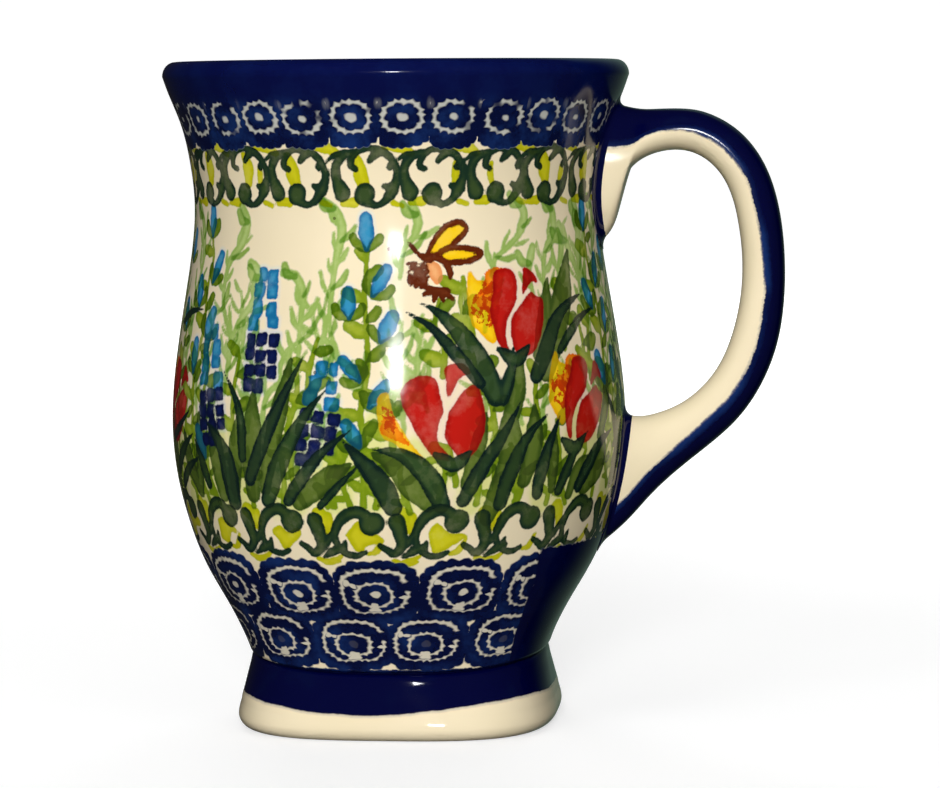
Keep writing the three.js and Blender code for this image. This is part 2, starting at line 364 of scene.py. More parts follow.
def hyacinth(at, rows, turn):
    """Two columns of sky florets above three columns of indigo ones, as blocks with thin gaps."""

    def floret(pigment, x, y, half_x, half_y):
        corners = [(-1, -1), (-1.1, 0), (-1, 1), (0, 1.1), (1, 1), (1.1, 0), (1, -1), (0, -1.1)]
        block = [(x + i * half_x + jitter(0.16), y + j * half_y + jitter(0.16)) for i, j in corners]
        fill(pigment, placed(block, at, 1, turn))

    for row in range(rows[0]):
        y = 1.8 + (rows[0] - 1 - row) * 3.0
        for side in (-1, 1):
            x = side * (1.3 + 0.3 * row) + jitter(0.35)
            floret("sky", x, y + jitter(0.5), 1.0 + jitter(0.2) + 0.08 * row, 1.25 + jitter(0.3))
    for row in range(rows[1]):
        spread = 2.7 if row < rows[1] - 1 else 2.4
        for col in (-1, 0, 1):
            if row == rows[1] - 1 and col == 1:
                continue
            x, y = col * spread + jitter(0.15), -1.3 - row * 2.75 + jitter(0.3)
            floret("indigo", x, y + jitter(0.2), 1.1 + jitter(0.1), 1.14 + jitter(0.12))


def blade(points, width, layer):
    """A long leaf from a fine tip to a broad, blunt root."""
    stroke(layer, points, [0.25, 0.5 * width, 0.85 * width, width, 0.8 * width])


def bud(at, turn, length, width):
    """A sky-blue bud, tip first, on an olive calyx."""
    stroke("sky", placed([(0, length / 2 - 1), (0, 0.4), (0, -length / 2 + 0.5)], at, 1, turn),
           [width * 0.75, width, width * 0.35])  # fmt: skip
    for side in (-1, 1):
        tip = (side * width * 0.8, -0.6 + jitter(1))
        stroke("olive_over", placed([tip, (side * 0.7 * width, -1.6), (0, -length / 2)], at, 1, turn),
               [1.7, 2.0, 0.7])  # fmt: skip


def oval_leaf(at, turn, length, width, layer):
    stroke(layer, placed([(0, 0), (0.15, length * 0.5), (0, length)], at, 1, turn),
           [0.5, width, width * 0.8])  # fmt: skip


def heading(p, i):
    """The direction of a path at a point, in degrees from straight up."""
    a, b = p[max(i - 1, 0)], p[min(i + 1, len(p) - 1)]
    return math.degrees(math.atan2(-(b[0] - a[0]), b[1] - a[1]))


def along_path(points, gap, first):
    """Places every gap mm along a smoothed path: (angle, height) and heading in degrees."""
    p = smooth_path(on_wall(points), steps=8)
    run = np.concatenate([[0], np.cumsum(np.hypot(*np.diff(p, axis=0).T))])
    out = []
    for s in np.arange(first, run[-1], gap):
        i = min(int(np.searchsorted(run, s)), len(p) - 1)
        out.append(((p[i][0] / MM_PER_DEG, p[i][1]), heading(p, i)))
    return out


FERN_LEAF = (5, 1.3)  # the longest one, and how wide a leaf is as a rule


def sprig(points, gap=2.2, hook=True):
    """A sage stem drawn upwards, with long leaves to both sides and a lobe under its hooked tip."""
    stroke("sage", points, [0.9, 1.1, 1.2, 2.0 if hook else 0.9, 1.8 if hook else 0.6])
    places = along_path(points, gap, 1.2)
    keep = places[:-3] if hook else places
    for n, (at, turn) in enumerate(keep):
        side = 1 if n % 2 else -1
        reach = FERN_LEAF[0] * rng.uniform(0.5, 1.0)
        bow = rng.uniform(0.5, 0.8)
        leaf = [(0, 0), (side * bow * 0.6 * reach, 0.4 * reach), (side * bow * reach, reach)]
        wide = FERN_LEAF[1] * rng.uniform(0.65, 1.2)
        layer = "sage_over" if n % 4 == 1 else "sage"
        stroke(layer, placed(leaf, at, 1, turn), [0.7, wide, 0.6 * wide])
    if hook and places:
        at = places[-2 if len(places) > 1 else -1][0]
        stroke("sage_over", placed([(0, 0), (-1.7, 0.3), (-2.6, 1.9)], at), [1.3, 2.0, 1.6])


def vine(points, first=1.6, leaf=3.5):
    """An olive stem with round leaves on short stalks."""
    stroke("olive", points, [1.3, 1.2, 1.1, 0.9])
    for n, (at, turn) in enumerate(along_path(points, 3.6, first)):
        side = 1 if n % 2 else -1
        bend = turn - side * rng.uniform(42, 72)
        layer = "olive_over" if n % 2 else "olive"
        size = leaf * rng.uniform(0.8, 1.2)
        oval_leaf(at, bend, size, size * rng.uniform(0.6, 0.85), layer)


def bee(at):
    upper = [(-2, -1), (-0.6, 1.6), (2, 4.2), (4.6, 4.8), (6, 3.6), (4.4, 1.8), (2.2, 0.2), (0, -0.9)]
    lower = [(-0.4, -1.1), (1.6, 0), (5.6, 0.1), (8.8, -0.9), (6.6, -2.2), (2.6, -2.6), (-0.2, -1.6)]
    cheek = [(-2.3, -2.6), (-1, -2.1), (0.5, -3.2), (0.8, -5.3), (-0.4, -6.6), (-1.4, -5.6), (-2, -4.2)]
    fill_all([("yellow", upper), ("yellow", lower), ("peach", cheek)], at)
    for _ in range(48):
        x, y = rng.uniform(-5.8, -2.2), rng.uniform(-6.9, -2.1)
        dab = [(x, y), (x + jitter(0.5), y + jitter(0.5))]
        stroke("brown", placed(dab, at), [0.8, rng.uniform(0.5, 1.2)])
    stroke_all("brown", [
        *((wing + wing[:1], [0.9, 1.15, 1.25, 1.1, 0.85]) for wing in (upper, lower)),
        ([(-5.6, 1.1), (-3.6, -1), (-1.6, -1.9)], [0.7, 1.0, 1.5]),
        ([(-1.4, -1.5), (0.6, -1.9), (2, -3.3), (2.4, -5.4)], [1.1, 1.6, 1.5, 0.9]),
        ([(-2.2, -7), (-0.4, -7.6), (1.4, -8)], [1.0, 1.6, 1.9]),
        ([(-9.4, 0.2), (-8.2, 0.3)], [0.9, 0.7]),
        *(([(x * 0.55 - 0.2, -7.9), (x, y)], [1.3, 0.9])
          for x, y in ((-3, -8.4), (-1, -9.4), (0.8, -9.6), (2.6, -9.2))),
    ], at)  # fmt: skip


UPPER_SCROLL = [
    ([(-4.2, 1.1), (-5.2, 1.7), (-5, 3), (-3.6, 4.5), (-1.3, 5), (1.7, 4.1), (3.6, 1.7), (3.9, -0.6),
      (3, -2.8), (1.5, -4.9), (-0.4, -5.7), (-2.1, -4.9)],
     [1.3, 1.5, 1.3, 1.3, 1.6, 1.6, 1.5, 1.6, 2.6, 1.7, 1.2, 2.2]),
    ([(-2.7, -3.8), (-2.5, -3.5)], [4.0, 4.0]),
    ([(2.9, -2.6), (1.4, -2.1)], [2.0, 1.2]),
    ([(0.2, 4.3), (-1.5, 2.7)], [2.0, 1.2]),
    ([(2.4, 1.6), (2.6, 1.4)], [1.3, 1.3]),
    ([(-4.4, 4.3), (-6.6, 3.6), (-8.3, 1.6), (-8.2, -0.9), (-7.2, -3.3)], [1.4, 1.7, 1.9, 2.2, 3.5]),
    ([(-6, 4.2), (-8.3, 3.8), (-10, 2.6)], [1.3, 1.2, 0.5]),
]  # fmt: skip
LOWER_SCROLL = [
    ([(2.8, 2.9), (0.9, 4.5), (-1.1, 4.4), (-3.2, 2.6), (-4.1, 0), (-3.1, -2.6), (-0.6, -3.5), (1.5, -2.8)],
     [2.8, 2.4, 2.4, 2.0, 1.5, 1.3, 1.4, 1.0]),
    ([(2.6, 2.4), (3.1, 2.7)], [4.3, 4.3]),
    ([(-2.2, -0.9), (-2.6, -2.2)], [0.9, 1.6]),
    ([(7.3, 2.9), (7.9, 0.6), (8.2, -1.5), (6.7, -3.1), (5.3, -2.2), (4.2, -1.5)],
     [3.3, 2.9, 2.4, 1.9, 1.5, 1.2]),
    ([(12.2, 3), (10.7, 0.9), (9.2, -1.1)], [0.9, 1.4, 1.6]),
    ([(11.9, -2), (10, -2.8), (8.3, -3.8)], [1.7, 1.8, 0.6]),
]  # fmt: skip
LIME_PATCH = [(0.2, 2.6), (1.3, 1.2), (4, 1), (4.4, -0.2), (2.4, -1.2), (0.6, -2.6), (-1, -2.2),
              (-1.3, -0.2), (-1.8, 1)]  # fmt: skip
UPPER_SCROLL_Z = 106.8
LOWER_SCROLL_Z = 40.3


def upper_scroll(angle, size):
    """A C-scroll hung from the navy band, with a ball at its foot and a teardrop beside it."""
    spot = (angle, UPPER_SCROLL_Z), size
    lean = jitter(2)
    laid = rng.random()
    lime = []
    if laid < 0.7:
        lime.append(([(-2.8 + lean, 3.6), (-2 + lean, 1.8), (-1.8 + 0.5 * lean, -1.6)],
                     [2 + jitter(0.5), 3 + jitter(0.8), 2]))  # fmt: skip
    if laid > 0.25:
        side = rng.choice((-3.9, 2.2))
        lime.append(([(side, 1.8 + jitter(0.8)), (side * 1.04, 0.2), (side * 0.9, -1.8)],
                     [1.0, 1.7 + jitter(0.4), 1.1]))  # fmt: skip
    lime += [
        ([(1.5, 5.4), (4.6, 5.2), (6.8, 4.1)], [1.3, 2.3, 1.5]),
        ([(-7, -5.3), (-4.6, -5.3 - jitter(0.3))], [1.4, 2.0]),
        ([(3, -5.2), (5, -5.8)], [1.2, 1.0]),
    ]
    stroke_all("lime", lime, *spot)
    stroke_all("scroll", UPPER_SCROLL, *spot)


def lower_scroll(angle, size):
    """The lower band's scroll: an arch with a ball at its right, a cup and two ticks beside it."""
    spot = (angle, LOWER_SCROLL_Z), size
    laid = rng.random()
    if laid < 0.85:
        reach = rng.uniform(0.75, 1.2)
        patch = [(x * reach + jitter(0.7), y * reach + jitter(0.7)) for x, y in LIME_PATCH]
        fill("lime", placed(patch, *spot))
    lime = [
        ([(-6.6, 4), (-5.6, 2.4), (-5.6, 0.6)], [3.2, 2.2, 0.8]),
        ([(9.8, 3.6), (10, 2), (9.8, 0.8)], [2.2, 1.9, 1.1]),
        ([(-7.9, -4.1), (-6, -4.8), (-3.8, -4.4)], [1.0, 1.4, 1.0]),
        ([(8.5, -4.5), (10.4, -4.2), (11.8, -3.4)], [0.7, 1.2, 0.8]),
    ]
    if laid > 0.4:
        lime.append(([(1.9, -3.1), (3.4, -2.6 + jitter(0.4)), (4.6, -0.6)], [0.8, 1.5, 0.8]))
    stroke_all("lime", lime, *spot)
    stroke_all("scroll", LOWER_SCROLL, *spot)


LEAVES = [  # width, then points: the broad leaves at the back
    (4.6, (-31, 67), (-31.5, 57), (-32, 47.5)),
    (3.6, (-20.5, 73), (-24, 61), (-28, 49)),
    (4.2, (-5, 54), (-12, 50.5), (-18.5, 46.5)),
    (4.4, (0.5, 56), (6, 54), (10, 49.5), (14, 46.5)),
    (3.4, (38.5, 73.5), (37, 67), (33.5, 60), (31, 56)),
    (4.4, (35.5, 64), (34.5, 55), (29, 43.5)),
    (4.0, (41.5, 64), (41, 56), (38.5, 50)),
    (5.6, (60, 92), (55.5, 84), (50, 76), (46, 70)),
    (3.6, (50, 87), (47.5, 80), (44, 73)),
    (3.0, (28, 63), (25.5, 56), (23, 50)),
    (3.0, (72, 70), (70, 63), (66, 57)),
    (3.6, (-36, 62), (-37, 55), (-38, 48)),
    (3.0, (-52, 62), (-52, 55), (-53, 48)),
    (2.6, (48, 58), (47.5, 52), (47.5, 48)),
    (3.0, (62, 53.5), (57, 51.5), (54, 46.5)),
    (4.6, (68, 58), (66, 51), (60, 47.5)),
    (4.4, (-46, 62), (-44, 54), (-43, 47)),
    (4.0, (-61, 58), (-58, 52), (-54, 47)),
    (4.2, (80, 66), (79, 56), (76, 47.5)),
    (4.0, (88, 62), (88, 54), (91, 47)),
    (4.2, (-72, 62), (-70, 54), (-71, 47)),
]
SPRIGS = [  # sage ferns, hanging hooks first
    ((-40, 71), (-40.5, 76), (-45.5, 83), (-45, 90), (-40, 94), (-38.2, 98), (-40.5, 101)),
    ((-41, 66), (-40.5, 74), (-38.5, 79), (-34.5, 82.5), (-32.3, 86), (-33.5, 89.3), (-36, 90.4)),
    ((-18.5, 72), (-18.5, 80), (-18.2, 84.5), (-20.5, 88), (-24.5, 88.8)),
    ((-8, 74), (-10.5, 79), (-10.3, 86), (-9.3, 92), (-8, 97), (-10, 100.4), (-13.4, 102)),
    ((32, 88), (33.5, 91), (38, 93.4), (42.2, 96), (43.6, 99.4), (40.5, 102.6)),
    ((48, 80), (49, 88), (50.8, 92.5), (54.4, 96), (54.2, 100), (50, 102.4)),
    ((7.5, 88), (8.5, 93), (11.3, 95.6), (12.4, 98.4), (10.8, 101.4)),
    ((64, 80), (63.5, 88), (60.5, 92.6), (59, 96)),
    ((-28, 60), (-27, 66), (-22, 70), (-21, 75)),
    ((8, 60), (7.6, 68), (6.6, 74), (8, 80)),
    ((76, 84), (75.5, 92), (78, 98), (75, 102)),
    ((-62, 74), (-63, 82), (-60, 90), (-62, 97), (-66, 101)),
    ((86, 72), (84, 82), (86, 92), (90, 98), (87, 102)),
    ((-74, 74), (-73, 84), (-76, 93), (-73, 99), (-76, 102)),
    ((54, 82), (55, 88), (57.5, 93), (57, 97)),
    ((66, 76), (66.5, 84), (65, 91), (67, 97), (64.5, 102)),
    ((80, 60), (79, 70), (81, 80), (79, 88)),
    ((44.5, 84), (44, 89), (46, 93)),
    ((-49, 68), (-50, 76), (-48, 82)),
    ((-30, 62), (-31.5, 70), (-34, 76)),
    ((12, 66), (11.5, 73), (13, 79)),
    ((-64, 58), (-64.5, 66), (-62.5, 73)),
    ((-9, 68), (-11.5, 74), (-14.5, 79), (-15.5, 83)),
    ((-36.5, 70), (-36, 78), (-38.5, 85)),
    ((90, 62), (91, 70), (89, 80), (91, 88), (88, 94)),
    ((95, 58), (96, 66), (94.5, 74), (97, 82), (95, 90), (98, 96), (95, 100)),
    ((-82, 64), (-81, 72), (-83, 80), (-81.5, 88)),
    ((29, 78), (31, 84), (34, 88)),
    ((67.5, 84), (66, 91), (68.5, 99)),
]
VINES = [  # olive stems with round leaves
    ((-2, 46), (-1.6, 57), (-2.2, 64), (-0.6, 72), (-1.2, 80), (-1.6, 87), (-1, 93)),
    ((-55, 47), (-55.5, 60), (-56, 70), (-53.5, 78), (-54.5, 86), (-53.2, 91), (-55, 95)),
    ((20.5, 50), (19.6, 55)),
    ((30.5, 58), (29.5, 65), (26.5, 69), (25.5, 74)),
    ((5.5, 57), (4.5, 62), (2.5, 66)),
    ((17.6, 70), (18.2, 75), (16, 79), (17.5, 84)),
    ((24.5, 76), (24, 80), (23, 83.5), (24.4, 87)),
    ((60.5, 69), (61.4, 75), (60, 80)),
    ((71, 60), (71.5, 72), (72.5, 82), (70.6, 90), (71, 96)),
    ((-37.5, 57), (-37.8, 66), (-36.5, 73)),
    ((-21, 60), (-18.5, 66), (-18.8, 72)),
    ((-11, 46), (-9.5, 50), (-5.5, 57), (-5, 62)),
    ((-48, 48), (-49, 56), (-50.5, 64), (-48.5, 71)),
    ((50.5, 47), (49.5, 54), (48.5, 61)),
    ((37, 46), (38.5, 51), (36.5, 56)),
    ((66, 60), (67.5, 64), (66, 70)),
    ((82, 47), (83, 58), (81, 68), (83, 78)),
    ((-66, 47), (-66, 60), (-67, 72), (-65, 80)),
    ((53.5, 74), (55, 80), (57.5, 85)),
    ((63, 68), (64, 75), (66.5, 81)),
    ((43, 60), (42, 66), (43.5, 70)),
    ((75, 48), (74, 58), (75.5, 66)),
    ((-15, 62), (-15.5, 70), (-13.5, 77)),
    ((26, 76), (25, 82), (24, 88)),
    ((-58, 48), (-60, 56), (-59.5, 66)),
    ((1, 46), (2.4, 51), (1.6, 57)),
]
BUDS = [  # angle, height and lean
    (-1.4, 96.4, 2), (-5.8, 83.4, 4), (2.4, 87.4, -30), (4.2, 79, -26), (2, 66.8, -35),
    (-4.4, 59.6, 30), (-55, 98, 0), (-50.2, 89.4, -25), (-59, 84.6, 10), (-50.6, 79, -22),
    (-57, 72.6, 0), (-5, 71.4, 40), (70, 99, 4), (75, 88, -16), (67.6, 83.6, 25),
    (76.5, 79.4, -10), (69, 69.6, 20), (77.5, 70, -8), (-51, 56.6, 25), (83, 91, 10),
    (-70, 93, -12), (-68, 80, 14),
]  # fmt: skip
BLADES = [  # width, then points: the dark leaves in front
    (4.8, (12.4, 83.4), (17, 81.6), (22.6, 77.6), (27, 72.4), (31, 66)),
    (2.7, (8.4, 82), (15, 79), (21, 74), (27, 68.6)),
    (2.8, (36.8, 75), (35.6, 71), (32.6, 65.2)),
    (3.8, (63.2, 83.8), (57, 82.2), (51, 79), (46.5, 73.6), (42.8, 69.4)),
    (2.2, (69, 81), (62, 79.6), (56, 76.6), (51.6, 73.8)),
    (3.2, (37.8, 65), (33, 59.4), (27, 53), (22.4, 47)),
    (3.4, (45.8, 62.4), (39, 58), (34.4, 51.4), (32.2, 46)),
    (3.1, (49.6, 61.6), (45.6, 56), (43.2, 50), (43, 47.4)),
    (2.8, (60.4, 58.2), (55.4, 55), (51.8, 50.4), (50, 47.6)),
    (3.4, (73, 57.8), (66, 55.4), (61, 51.6), (57.6, 48)),
    (2.4, (-42, 70.2), (-37.4, 66), (-34.8, 61), (-34.6, 54.4)),
    (3.2, (-17, 73.8), (-23, 65), (-29, 56), (-32.6, 50.4)),
    (3.8, (-11, 67.6), (-17, 62), (-23.4, 53.6), (-27.6, 46.6)),
    (2.7, (-4.6, 60.4), (-12, 56), (-18.6, 50), (-21.6, 46.8)),
    (1.7, (-2.4, 54.2), (-8, 50), (-13, 46)),
    (4.3, (-7, 58.6), (-2.6, 55), (2.2, 50.6), (5.2, 46)),
    (4.2, (0, 57), (8, 55.6), (14, 51.4), (17, 46.4)),
    (4.6, (-49, 60.8), (-45, 58.6), (-40.4, 54), (-39, 46)),
    (2.6, (-54.6, 57.2), (-51.6, 53.6), (-48.8, 48.6)),
    (2.4, (-52.4, 53.6), (-60, 50.8), (-66, 47.4)),
    (2.8, (-55, 58), (-62, 54.6), (-69, 50)),
    (2.2, (-57.6, 62.2), (-65, 58.6), (-72, 56)),
    (1.8, (-55, 81.4), (-63, 80.6), (-71, 78.4)),
    (3.2, (70.4, 66), (75, 60), (77.6, 54), (77.4, 48)),
    (3.4, (79, 76), (83, 68), (86, 59), (87, 49)),
    (3.2, (97, 72), (94, 62), (90, 54), (86, 47)),
    (3.2, (-76, 72), (-79, 62), (-79, 54), (-77, 47)),
    (2.6, (95, 60), (98, 54), (97, 47)),
]


def garden(turn):
    """Tulips, hyacinths, buds and a bee over a bed of leaves: half the way round the mug."""

    def turned(points):
        return [(a + turn, z) for a, z in points]

    for width, *points in LEAVES:
        stroke("leaf", turned(points), [0.9, width, width, 0.7 * width])
    for points in SPRIGS:
        sprig(turned(points), hook=points[-1][1] > 88)
    for points in VINES:
        vine(turned(points))
    for angle, z, lean in BUDS:
        bud((angle + turn, z), lean, 6.7 + jitter(0.6), 3.1 + jitter(0.4))

    # Thin washes and small leaves low down, where the planting is thickest.
    for n in range(26):
        angle, z = turn - 88 + 6.9 * n + jitter(2), 46 + jitter(1)
        wash = [(angle, z), (angle + jitter(3), z + 8), (angle + jitter(4), z + 15 + jitter(4))]
        stroke("wash", wash, [5, 7, 3])
        stem = [(angle + 2, z), (angle + 1 + jitter(3), z + 6), (angle + jitter(4), z + 11 + jitter(3))]
        vine(stem, 1.4, 2.3)
    for n in range(18):
        angle, z = turn - 84 + 10 * n + jitter(2.5), 62 + jitter(4)
        sprig([(angle, z), (angle + jitter(2), z + 4), (angle + jitter(3), z + 8 + jitter(2))], 2.4, False)

    hyacinth((-29.6 + turn, 77.6), (4, 4), 0)
    hyacinth((-47 + turn, 66.6), (4, 4), 8)
    hyacinth((-12.3 + turn, 64), (3, 4), -8)
    fill_all(TULIP, (39 + turn, 81))
    fill_all(BROAD_TULIP, (17.5 + turn, 63.5))
    fill_all(TULIP, (59.5 + turn, 63.8), 0.98, -14)
    fill_all(TULIP, (-68 + turn, 63), 0.95, -10)
    bee((17.5 + turn, 93.2))

    for n, (width, *points) in enumerate(BLADES):
        blade(turned(points), width, "dark_over" if n % 2 else "dark")
    for foot in turned([(37.2, 73.4), (20, 54.6), (55, 56)]):
        stroke("dark", placed([(-3.4, 1.2), (-0.8, -0.6), (0.6, -0.6), (3, 1.6)], foot), [1.2, 2.9, 2.6, 0.8])


UPPER_SCROLLS = 20
LOWER_SCROLLS = 17

for half in (0, 180):
    garden(half)
for k in range(UPPER_SCROLLS):
    upper_scroll(1 + 360 / UPPER_SCROLLS * k + jitter(0.8), 0.97 + jitter(0.03))
for k in range(LOWER_SCROLLS):
    lower_scroll(-4.5 + 360 / LOWER_SCROLLS * k + jitter(0.7), 1.06 + jitter(0.04))

# ---- Shader helpers ----------------------------------------------------------------------------


def linear(srgb):
    """A linear colour from 0-255 sRGB values."""
    c = np.array(srgb) / 255
    return np.where(c <= 0.04045, c / 12.92, ((c + 0.055) / 1.055) ** 2.4)


def math_method(operation):
    """A Shade method that adds one math node."""
    return lambda self, *values: self.math(operation, *values)


def chain_method(operation):
    """A Shade method that works through its values from the left, a math node for each step."""
    return lambda self, *values: reduce(lambda a, b: self.math(operation, a, b), values)


class Shade:
    """A small writer of shader nodes: each call adds a node or a few and returns an output."""

    add, sub, mul = chain_method("ADD"), chain_method("SUBTRACT"), chain_method("MULTIPLY")
    most, least = chain_method("MAXIMUM"), chain_method("MINIMUM")
    madd, power, arctan = math_method("MULTIPLY_ADD"), math_method("POWER"), math_method("ARCTAN2")
    size, floor = math_method("ABSOLUTE"), math_method("FLOOR")
    sin, cos = math_method("SINE"), math_method("COSINE")

    def __init__(self, name, kind="materials"):
        self.owner = getattr(bpy.data, kind).new(name)
        self.owner.use_nodes = True
        self.tree = self.owner.node_tree
        self.tree.nodes.clear()

    def feed(self, socket, value):
        if isinstance(value, bpy.types.NodeSocket):
            self.tree.links.new(value, socket)
        else:
            socket.default_value = value

    def node(self, kind, inputs=(), **settings):
        n = self.tree.nodes.new(kind)
        for key, value in settings.items():
            setattr(n, key, value)
        for key, value in dict(inputs).items():
            self.feed(n.inputs[key], value)
        return n

    def math(self, operation, *values, clamp=False):
        inputs = dict(enumerate(values))
        return self.node("ShaderNodeMath", inputs, operation=operation, use_clamp=clamp).outputs[0]

    def ramp(self, value, low, high, out_low=0.0, out_high=1.0):
        """A smooth step of value between low and high."""
        inputs = {"Value": value, "From Min": low, "From Max": high, "To Min": out_low, "To Max": out_high}
        return self.node("ShaderNodeMapRange", inputs, interpolation_type="SMOOTHSTEP").outputs[0]

    def noise(self, vector, scale, detail=2.0, rough=0.5):
        inputs = {"Vector": vector, "Scale": scale, "Detail": detail, "Roughness": rough}
        return self.node("ShaderNodeTexNoise", inputs).outputs["Fac"]

    def ripple(self, *settings):
        """Noise about zero."""
        return self.sub(self.noise(*settings), 0.5)

    def mix(self, factor, a, b, blend="MIX"):
        n = self.node("ShaderNodeMix", {}, data_type="RGBA", blend_type=blend)
        self.feed(n.inputs[0], factor)
        for index, colour in ((6, a), (7, b)):
            linked = isinstance(colour, bpy.types.NodeSocket)
            self.feed(n.inputs[index], colour if linked else (*colour, 1))
        return n.outputs[2]

    def split(self, vector):
        return self.node("ShaderNodeSeparateXYZ", {0: vector}).outputs

    def join(self, x, y, z):
        return self.node("ShaderNodeCombineXYZ", {0: x, 1: y, 2: z}).outputs[0]

    def attribute(self, name, output="Fac"):
        return self.node("ShaderNodeAttribute", attribute_name=name).outputs[output]

    def place(self):
        """Position in mm about the vessel's axis."""
        spot = self.node("ShaderNodeTexCoord").outputs["Object"]
        for operation, value in (("MULTIPLY", (1000, 1000, 1000)), ("ADD", (-AXIS_X, 0, 0))):
            spot = self.node("ShaderNodeVectorMath", {0: spot, 1: value}, operation=operation).outputs[0]
        return spot

    def surface(self, colour, roughness, relief=None, depth=0.0001, specular=0.5, glow=None):
        """The finished material, with relief as a bump depth metres high, and a glow if it has one."""
        inputs = {"Base Color": colour, "Roughness": roughness, "Specular IOR Level": specular, "IOR": 1.5}
        if relief is not None:
            bump = self.node("ShaderNodeBump", {"Height": relief, "Distance": depth, "Strength": 1.0})
            inputs["Normal"] = bump.outputs[0]
        if glow is not None:
            inputs |= {"Emission Color": (1, 1, 1, 1), "Emission Strength": glow}
        shader = self.node("ShaderNodeBsdfPrincipled", inputs).outputs[0]
        self.node("ShaderNodeOutputMaterial", {"Surface": shader})
        return self.owner


CREAM = linear((246, 230, 193))
NAVY_DEEP = linear((1, 3, 50))
NAVY = linear((3, 12, 54))
COBALT = linear((18, 44, 98))
RAGGED = {"orange": 3.0, "brown": 1.6, "speckle": 6.5, "wash": 3.0}
SOFT = {"wash": 8.0, "sage": 1.6, "sage_over": 1.6}
HALOS = {"sky": (214, 224, 222), "indigo": (190, 204, 226), "red": (244, 206, 196)}
EYES = 28
EYES_Z = 117.0
ROSETTES = [  # count, offset, height, half size, and how strong the centre dot is
    (15, 0.5, 29.0, (6.4, 4.5), 1.0),
    (14, 0.88, 18.9, (6.0, 4.1), 0.05),
]


def cream_glaze(s, p):
    """The cream glaze: a faint warm and cool drift, with scattered iron specks."""
    colour = s.mix(s.ramp(s.noise(p, 0.035, 3), 0.35, 0.65), CREAM * 0.97, linear((247, 231, 196)))
    cells = s.node("ShaderNodeTexVoronoi", {"Vector": p, "Scale": 0.16}, feature="F1")
    size = s.node("ShaderNodeTexWhiteNoise", {0: cells.outputs["Position"]}, noise_dimensions="3D")
    reach = s.ramp(size.outputs["Value"], 0.55, 1.0, 0.0, 0.055)
    speck = s.math("LESS_THAN", cells.outputs["Distance"], reach)
    return s.mix(s.mul(speck, 0.75), colour, linear((92, 74, 52)))


def navy_ink(s, p, scale, low=0.5):
    return s.mix(s.ramp(s.noise(p, scale, 3), low, 0.9), NAVY_DEEP, NAVY)


def painted(s, colour, fuzz, tone):
    """Lays the pigments over a colour, each thinned, pooled at its edges and seen through."""
    strength = s.math("MULTIPLY_ADD", tone, 0.4, 1.0, clamp=True)
    for n in range(0, len(PIGMENTS), 3):
        packed = s.split(s.attribute(f"paint_{n // 3}", "Vector"))
        for name, distance in zip(PIGMENTS[n : n + 3], packed):
            edge = 0.15 * SOFT.get(name, 1.0)
            if name == "speckle":
                distance = s.most(distance, -0.12)
            cover = s.ramp(s.madd(fuzz, RAGGED.get(name, 1.0), distance), edge, -edge)
            centre, rim, body = TINTS[name]
            pool = s.ramp(s.madd(tone, 1.6, distance), -1.15, -0.1)
            opaque = s.mix(pool, linear(centre), linear(rim))
            tint = s.mix(1.0, opaque, 1 / CREAM, "MULTIPLY")
            if name in HALOS:
                halo = s.mul(s.ramp(distance, 0.9, 0.0), 0.5)
                colour = s.mix(halo, colour, linear(HALOS[name]) / CREAM, "MULTIPLY")
            laid = s.mix(body, s.mix(1.0, colour, tint, "MULTIPLY"), opaque)
            colour = s.mix(s.mul(cover, strength), colour, laid)
    return colour


def cell(s, angle, count, offset, radius):
    """For a stamp repeated count times round the mug: local x in mm, the cell's number, and -0.5 to 0.5."""
    c = s.madd(angle, count / 360, offset)
    number = s.floor(c)
    u = s.sub(c, number, 0.5)
    return s.mul(u, radius, 2 * math.pi / count), number, u


def random_of(s, number, seed):
    """A random value from 0 to 1 for each cell."""
    noise = s.node("ShaderNodeTexWhiteNoise", {"W": s.add(number, seed)}, noise_dimensions="1D")
    return noise.outputs["Value"]


def polar(s, x, y, half_x, half_y, power=2.4):
    """Distance from the centre, 1 on a rounded-square ring, and the angle round it."""
    x, y = s.mul(x, 1 / half_x), s.mul(y, 1 / half_y)
    total = s.add(s.power(s.size(x), power), s.power(s.size(y), power))
    return s.power(total, 1 / power), s.arctan(y, x)


def scallop(s, phi, count, phase):
    return s.size(s.sin(s.madd(phi, count / 2, phase)))


def ring_line(s, rho, phi, inner, outer, phase, soft, bumps, depth):
    """A cream ring between scalloped edges."""
    low = s.madd(scallop(s, phi, bumps[0], phase), depth[0], inner)
    high = s.madd(scallop(s, phi, bumps[1], phase), -depth[1], outer)
    return s.mul(s.ramp(s.sub(rho, low), -soft, soft), s.ramp(s.sub(high, rho), -soft, soft))


def worn(s, phi, number, step, scale, low, high):
    """A patchy cover round a ring, its own for each stamp."""
    swirl = s.join(s.cos(phi), s.sin(phi), s.mul(number, step))
    return s.ramp(s.noise(swirl, scale, 1), low, high)


def stamp(s, x, y, half_x, half_y):
    """A scalloped, rounded-square stamp of colour: 1 inside it."""
    rho, phi = polar(s, x, y, half_x, half_y, 3.0)
    edge = s.madd(scallop(s, phi, 22, 0.4), 0.05, 0.97)
    return s.ramp(s.sub(rho, edge), 0.025, -0.025)


